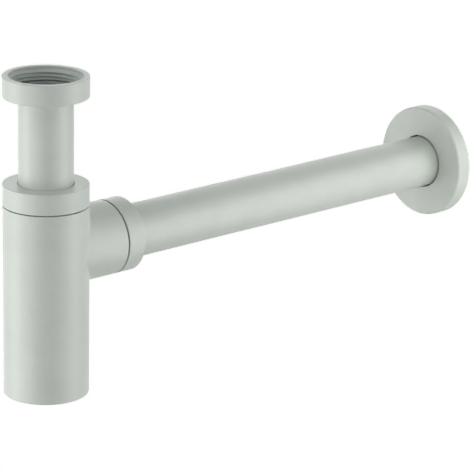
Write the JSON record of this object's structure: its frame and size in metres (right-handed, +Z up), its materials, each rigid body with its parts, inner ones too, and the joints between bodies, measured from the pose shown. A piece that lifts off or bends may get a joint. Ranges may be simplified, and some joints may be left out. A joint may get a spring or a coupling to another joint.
{
  "type": "waste trap",
  "caption": "Bottle waste trap: coupling nut and inlet tube above a slim bottle, with a side branch, a long horizontal outlet pipe and a round wall flange.",
  "frame": {"origin": "on the inlet axis, in the plane where the basin waste meets the gasket", "axes": "+Z up along the inlet axis, out of the inlet nut; +X along the outlet pipe, towards the wall"},
  "size_m": [0.352, 0.07, 0.1899],
  "materials": {
    "satin_coat": "satin",
    "black_rubber": "matte",
    "grey_rubber": "matte",
    "white_plastic": "matte"
  },
  "bodies": {
    "inlet_nut": {"inlet_nut": "satin_coat"},
    "inlet_gasket": {"inlet_gasket": "grey_rubber"},
    "inlet_tube": {"inlet_tube": "satin_coat"},
    "cap_nut": {"cap_nut": "satin_coat"},
    "cap_slip_ring": {"cap_slip_ring": "white_plastic"},
    "cap_seal": {"cap_seal": "black_rubber"},
    "bottle_body": {"bottle_body": "satin_coat"},
    "outlet_nut": {"outlet_nut": "satin_coat"},
    "outlet_slip_ring": {"outlet_slip_ring": "white_plastic"},
    "outlet_seal": {"outlet_seal": "black_rubber"},
    "outlet_pipe": {"outlet_pipe": "satin_coat"},
    "wall_flange": {"wall_flange": "satin_coat"},
    "flange_o_ring": {"flange_o_ring": "black_rubber"},
    "clean_out_plug": {"clean_out_plug": "satin_coat"},
    "plug_o_ring": {"plug_o_ring": "black_rubber"}
  },
  "joints": [
    {"name": "inlet_nut_drop", "type": "slide", "parent": "inlet_nut", "child": "inlet_gasket", "axis": [0, 0, 1], "range_m": [0, 0.03]},
    {"name": "inlet_nut_turn", "type": "hinge", "parent": "inlet_gasket", "child": "inlet_tube", "pos_m": [0, 0, 0], "axis": [0, 0, 1], "continuous": true},
    {"name": "height_adjust", "type": "slide", "parent": "inlet_tube", "child": "cap_seal", "axis": [0, 0, 1], "range_m": [-0.04, 0.01]},
    {"name": "bottle_turn", "type": "hinge", "parent": "cap_seal", "child": "bottle_body", "pos_m": [0, 0, -0.096], "axis": [0, 0, 1], "continuous": true},
    {"name": "cap_nut_lift", "type": "slide", "parent": "bottle_body", "child": "cap_slip_ring", "axis": [0, 0, 1], "range_m": [0, 0.00605]},
    {"name": "cap_nut_turn", "type": "hinge", "parent": "cap_slip_ring", "child": "cap_nut", "pos_m": [0, 0, -0.068], "axis": [0, 0, 1], "range_deg": [0, 1440]},
    {"name": "outlet_nut_travel", "type": "slide", "parent": "bottle_body", "child": "outlet_slip_ring", "axis": [1, 0, 0], "range_m": [0, 0.00605]},
    {"name": "outlet_nut_turn", "type": "hinge", "parent": "outlet_slip_ring", "child": "outlet_nut", "pos_m": [0.0437, 0, -0.096], "axis": [1, 0, 0], "range_deg": [0, 1440]},
    {"name": "pipe_turn", "type": "hinge", "parent": "bottle_body", "child": "outlet_seal", "pos_m": [0.0437, 0, -0.096], "axis": [1, 0, 0], "continuous": true},
    {"name": "pipe_slide", "type": "slide", "parent": "outlet_seal", "child": "outlet_pipe", "axis": [1, 0, 0], "range_m": [-0.009, 0.01]},
    {"name": "flange_slide", "type": "slide", "parent": "outlet_pipe", "child": "flange_o_ring", "axis": [1, 0, 0], "range_m": [-0.23, 0.01]},
    {"name": "flange_turn", "type": "hinge", "parent": "flange_o_ring", "child": "wall_flange", "pos_m": [0.305, 0, -0.096], "axis": [1, 0, 0], "continuous": true},
    {"name": "plug_travel", "type": "slide", "parent": "bottle_body", "child": "plug_o_ring", "axis": [0, 0, -1], "range_m": [0, 0.00405]},
    {"name": "plug_turn", "type": "hinge", "parent": "plug_o_ring", "child": "clean_out_plug", "pos_m": [0, 0, -0.1815], "axis": [0, 0, -1], "range_deg": [0, 1440]}
  ],
  "couplings": [
    {"joint": "cap_nut_lift", "follows": "cap_nut_turn", "m_per_rad": 0.00023873},
    {"joint": "outlet_nut_travel", "follows": "outlet_nut_turn", "m_per_rad": 0.00023873},
    {"joint": "plug_travel", "follows": "plug_turn", "m_per_rad": 0.00015915}
  ]
}
